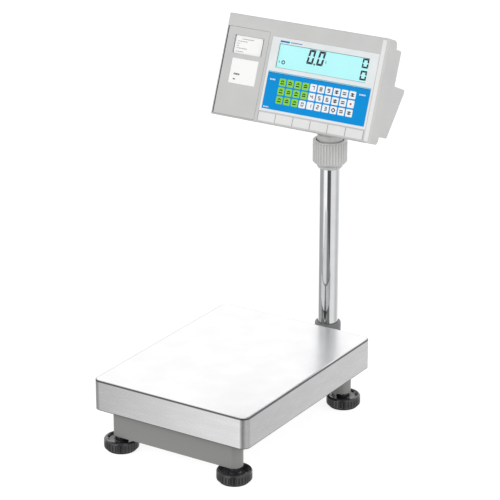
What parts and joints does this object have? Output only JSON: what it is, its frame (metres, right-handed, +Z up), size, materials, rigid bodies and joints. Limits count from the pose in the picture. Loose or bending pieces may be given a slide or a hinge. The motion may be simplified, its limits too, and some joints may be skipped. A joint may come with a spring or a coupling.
{
  "type": "bench scale",
  "caption": "Bench weighing scale with a lift-off rectangular pan, levelling feet, a rear column and a tilting indicator head with keypad and label printer.",
  "frame": {"origin": "centre of the weighing pan's top face", "axes": "+X to the user's right, +Y to the rear where the column stands, +Z up"},
  "size_m": [0.351, 0.5691, 0.6277],
  "materials": {
    "pan_steel": "brushed, bright top",
    "frame_paint": "satin",
    "bracket_paint": "satin",
    "collar_plastic": "satin",
    "sole_rubber": "matte",
    "knob_plastic": "semi-gloss",
    "zinc_steel": "zinc plated",
    "cell_aluminium": "machined",
    "column_chrome": "polished",
    "nut_plastic": "fine grain",
    "head_plastic": "fine grain",
    "overlay_film": "fine matte film",
    "window_plastic": "clear",
    "lcd_glass": "lit",
    "diffuser_plastic": "satin",
    "circuit_board": "solder mask",
    "circuit_film": "film",
    "dome_steel": "spring steel",
    "battery_sleeve": "shrink sleeve",
    "black_plastic": "fine grain",
    "paper_white": "coated",
    "lead_jacket": "satin",
    "bearing_plastic": "satin",
    "vial_plastic": "clear green"
  },
  "bodies": {
    "base": {"lower_frame": "frame_paint", "overload_stops": "zinc_steel", "load_cell": "cell_aluminium", "cell_base_spacer": "zinc_steel", "cell_base_bolts": "zinc_steel", "load_cell_lead": "lead_jacket", "column_bracket": "bracket_paint", "bracket_bolts": "zinc_steel", "column_screws": "zinc_steel", "column_collar": "collar_plastic", "column_tube": "column_chrome", "column_top_bush": "bearing_plastic", "bubble_level_housing": "black_plastic", "bubble_level_vial": "vial_plastic"},
    "platform": {"upper_frame": "frame_paint", "pan_support_pads": "sole_rubber", "cell_top_spacer": "zinc_steel", "cell_top_screws": "zinc_steel"},
    "pan": {"weighing_pan": "pan_steel"},
    "clamp_ring": {"clamp_ring": "bearing_plastic"},
    "column_nut": {"column_nut": "nut_plastic"},
    "neck": {"head_neck": "nut_plastic"},
    "head": {"head_front_shell": "head_plastic", "head_rear_shell": "head_plastic", "rear_cover": "head_plastic", "shell_screws": "zinc_steel", "cover_screws": "zinc_steel", "tilt_bracket": "zinc_steel", "tilt_bolt": "zinc_steel", "front_overlay": "overlay_film", "snap_domes": "dome_steel", "keypad_circuit": "circuit_film", "display_window": "window_plastic", "lcd_panel": "lcd_glass", "lcd_backlight": "diffuser_plastic", "main_board": "circuit_board", "battery_pack": "battery_sleeve", "power_inlet": "black_plastic", "serial_port": "zinc_steel", "printer_frame": "black_plastic", "print_head": "cell_aluminium", "roll_spindle": "bearing_plastic", "label_strip": "paper_white"},
    "printer_door": {"printer_door": "head_plastic", "spec_label": "paper_white"},
    "label_roll": {"label_roll": "paper_white"},
    "platen": {"platen_roller": "sole_rubber"},
    "power_switch": {"power_switch": "black_plastic"},
    "foot_pad_front_left": {"foot_pad_front_left": "sole_rubber"},
    "foot_knob_front_left": {"foot_knob_front_left": "knob_plastic", "foot_stud_front_left": "zinc_steel"},
    "foot_pad_front_right": {"foot_pad_front_right": "sole_rubber"},
    "foot_knob_front_right": {"foot_knob_front_right": "knob_plastic", "foot_stud_front_right": "zinc_steel"},
    "foot_pad_rear_left": {"foot_pad_rear_left": "sole_rubber"},
    "foot_knob_rear_left": {"foot_knob_rear_left": "knob_plastic", "foot_stud_rear_left": "zinc_steel"},
    "foot_pad_rear_right": {"foot_pad_rear_right": "sole_rubber"},
    "foot_knob_rear_right": {"foot_knob_rear_right": "knob_plastic", "foot_stud_rear_right": "zinc_steel"}
  },
  "joints": [
    {"name": "platform_sink", "type": "slide", "parent": "base", "child": "platform", "axis": [0, 0, 1], "range_m": [-0.0005, 0], "stiffness_N_per_m": 200000, "springref_m": 0.00025, "deforming": ["load_cell"]},
    {"name": "pan_lift", "type": "slide", "parent": "platform", "child": "pan", "axis": [0, 0, 1], "range_m": [0, 0.08]},
    {"name": "clamp_ring_rise", "type": "slide", "parent": "base", "child": "clamp_ring", "axis": [0, 0, 1], "range_m": [0, 0.003]},
    {"name": "clamp_nut_turn", "type": "hinge", "parent": "clamp_ring", "child": "column_nut", "pos_m": [0, 0.308, 0.28], "axis": [0, 0, 1], "range_deg": [0, 360]},
    {"name": "head_swivel", "type": "hinge", "parent": "base", "child": "neck", "pos_m": [0, 0.308, 0.3], "axis": [0, 0, 1], "range_deg": [-170, 170]},
    {"name": "head_tilt", "type": "hinge", "parent": "neck", "child": "head", "pos_m": [0, 0.308, 0.338], "axis": [1, 0, 0], "range_deg": [-15, 20]},
    {"name": "printer_door_swing", "type": "hinge", "parent": "head", "child": "printer_door", "pos_m": [-0.194, 0.26615, 0.40787], "axis": [0, -0.3572, -0.934], "range_deg": [0, 90]},
    {"name": "label_roll_turn", "type": "hinge", "parent": "head", "child": "label_roll", "pos_m": [-0.152, 0.28447, 0.38159], "axis": [1, 0, 0], "continuous": true},
    {"name": "platen_turn", "type": "hinge", "parent": "head", "child": "platen", "pos_m": [-0.152, 0.28837, 0.4422], "axis": [1, 0, 0], "continuous": true},
    {"name": "power_switch_tip", "type": "hinge", "parent": "head", "child": "power_switch", "pos_m": [0.065, 0.33222, 0.43506], "axis": [0, 0.3572, 0.934], "range_deg": [0, 16]},
    {"name": "foot_height_front_left", "type": "slide", "parent": "base", "child": "foot_pad_front_left", "axis": [0, 0, -1], "range_m": [0, 0.012]},
    {"name": "foot_turn_front_left", "type": "hinge", "parent": "foot_pad_front_left", "child": "foot_knob_front_left", "pos_m": [-0.1115, -0.174, -0.115], "axis": [0, 0, -1], "range_deg": [0, 2880]},
    {"name": "foot_height_front_right", "type": "slide", "parent": "base", "child": "foot_pad_front_right", "axis": [0, 0, -1], "range_m": [0, 0.012]},
    {"name": "foot_turn_front_right", "type": "hinge", "parent": "foot_pad_front_right", "child": "foot_knob_front_right", "pos_m": [0.1115, -0.174, -0.115], "axis": [0, 0, -1], "range_deg": [0, 2880]},
    {"name": "foot_height_rear_left", "type": "slide", "parent": "base", "child": "foot_pad_rear_left", "axis": [0, 0, -1], "range_m": [0, 0.012]},
    {"name": "foot_turn_rear_left", "type": "hinge", "parent": "foot_pad_rear_left", "child": "foot_knob_rear_left", "pos_m": [-0.1115, 0.174, -0.115], "axis": [0, 0, -1], "range_deg": [0, 2880]},
    {"name": "foot_height_rear_right", "type": "slide", "parent": "base", "child": "foot_pad_rear_right", "axis": [0, 0, -1], "range_m": [0, 0.012]},
    {"name": "foot_turn_rear_right", "type": "hinge", "parent": "foot_pad_rear_right", "child": "foot_knob_rear_right", "pos_m": [0.1115, 0.174, -0.115], "axis": [0, 0, -1], "range_deg": [0, 2880]}
  ],
  "couplings": [
    {"joint": "clamp_ring_rise", "follows": "clamp_nut_turn", "m_per_rad": 0.00047746},
    {"joint": "platen_turn", "follows": "label_roll_turn", "ratio": 3.5},
    {"joint": "foot_height_front_left", "follows": "foot_turn_front_left", "m_per_rad": 0.00023873},
    {"joint": "foot_height_front_right", "follows": "foot_turn_front_right", "m_per_rad": 0.00023873},
    {"joint": "foot_height_rear_left", "follows": "foot_turn_rear_left", "m_per_rad": 0.00023873},
    {"joint": "foot_height_rear_right", "follows": "foot_turn_rear_right", "m_per_rad": 0.00023873}
  ]
}
